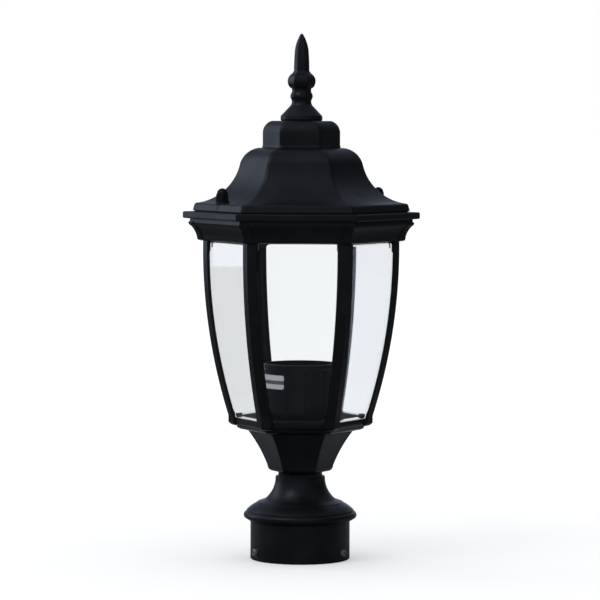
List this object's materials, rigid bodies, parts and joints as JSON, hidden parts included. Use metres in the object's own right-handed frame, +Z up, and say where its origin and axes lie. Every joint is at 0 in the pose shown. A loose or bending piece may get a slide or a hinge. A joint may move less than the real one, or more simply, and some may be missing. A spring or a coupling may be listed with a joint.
{
  "type": "post top lantern",
  "caption": "Hexagonal black post top lantern with bowed glass panes between ribs, a lift-off ogee roof with a spear finial, a screw lampholder in a cup, and a round fitter over a post.",
  "frame": {"origin": "centre of the fitter's bottom rim, on the axis of the post", "axes": "+Z up along the post's axis to the finial, -Y towards the front facet, corners of the cage on +X and -X"},
  "size_m": [0.2032, 0.176, 0.45],
  "materials": {
    "black_coat": "satin powder coat on die-cast aluminium",
    "plated_steel": "zinc plated",
    "black_nut": "black plated brass, satin",
    "clear_glass": "clear, bent float glass",
    "black_rubber": "matte",
    "black_plastic": "semi-matte moulded",
    "label_paper": "plain, with nothing on it",
    "porcelain": "glazed",
    "shell_brass": "pressed, bright",
    "white_plastic": "moulded, translucent white",
    "terminal_brass": "turned",
    "live_insulation": "black insulation",
    "neutral_insulation": "white insulation",
    "earth_insulation": "green insulation"
  },
  "bodies": {
    "lantern": {"post_fitter": "black_coat", "bowl": "black_coat", "lower_frame": "black_coat", "rib_right": "black_coat", "rib_rear_right": "black_coat", "rib_rear_left": "black_coat", "rib_left": "black_coat", "rib_front_left": "black_coat", "rib_front_right": "black_coat", "upper_frame": "black_coat", "threaded_nipple": "plated_steel", "nipple_washers": "plated_steel", "nipple_nuts": "plated_steel", "holder_bar": "plated_steel", "bar_screws": "plated_steel", "rib_screws_lower": "plated_steel", "rib_screws_upper": "plated_steel", "pane_clips": "plated_steel", "roof_studs": "plated_steel", "stud_lock_nuts": "plated_steel", "glass_rear_right": "clear_glass", "glass_rear": "clear_glass", "glass_rear_left": "clear_glass", "glass_front_left": "clear_glass", "glass_front": "clear_glass", "glass_front_right": "clear_glass", "neck_gasket": "black_rubber", "roof_gasket": "black_rubber", "socket_cup": "black_plastic", "blank_label": "label_paper", "lampholder_body": "porcelain", "screw_shell": "shell_brass", "centre_contact": "shell_brass", "terminal_block": "white_plastic", "terminal_screws": "terminal_brass", "earth_screw": "terminal_brass", "earth_eyelet": "terminal_brass", "live_lead": "live_insulation", "neutral_lead": "neutral_insulation", "earth_lead": "earth_insulation"},
    "roof": {"roof": "black_coat", "crown_cap": "black_coat", "finial": "black_coat", "finial_stud": "plated_steel", "finial_washer": "plated_steel", "finial_nut": "plated_steel", "cap_washers": "plated_steel"},
    "cap_nut_left": {"cap_nut_left": "black_nut"},
    "cap_nut_right": {"cap_nut_right": "black_nut"},
    "set_screw_left": {"set_screw_left": "plated_steel"},
    "set_screw_rear": {"set_screw_rear": "plated_steel"},
    "set_screw_right": {"set_screw_right": "plated_steel"}
  },
  "joints": [
    {"name": "roof_lift", "type": "slide", "parent": "lantern", "child": "roof", "axis": [0, 0, 1], "range_m": [0, 0.15]},
    {"name": "cap_nut_left_undo", "type": "slide", "parent": "roof", "child": "cap_nut_left", "axis": [0, 0, 1], "range_m": [0, 0.012]},
    {"name": "cap_nut_right_undo", "type": "slide", "parent": "roof", "child": "cap_nut_right", "axis": [0, 0, 1], "range_m": [0, 0.012]},
    {"name": "set_screw_left_drive", "type": "slide", "parent": "lantern", "child": "set_screw_left", "axis": [0.866, 0.5, 0], "range_m": [0, 0.004]},
    {"name": "set_screw_rear_drive", "type": "slide", "parent": "lantern", "child": "set_screw_rear", "axis": [0, -1, 0], "range_m": [0, 0.004]},
    {"name": "set_screw_right_drive", "type": "slide", "parent": "lantern", "child": "set_screw_right", "axis": [-0.866, 0.5, 0], "range_m": [0, 0.004]}
  ]
}
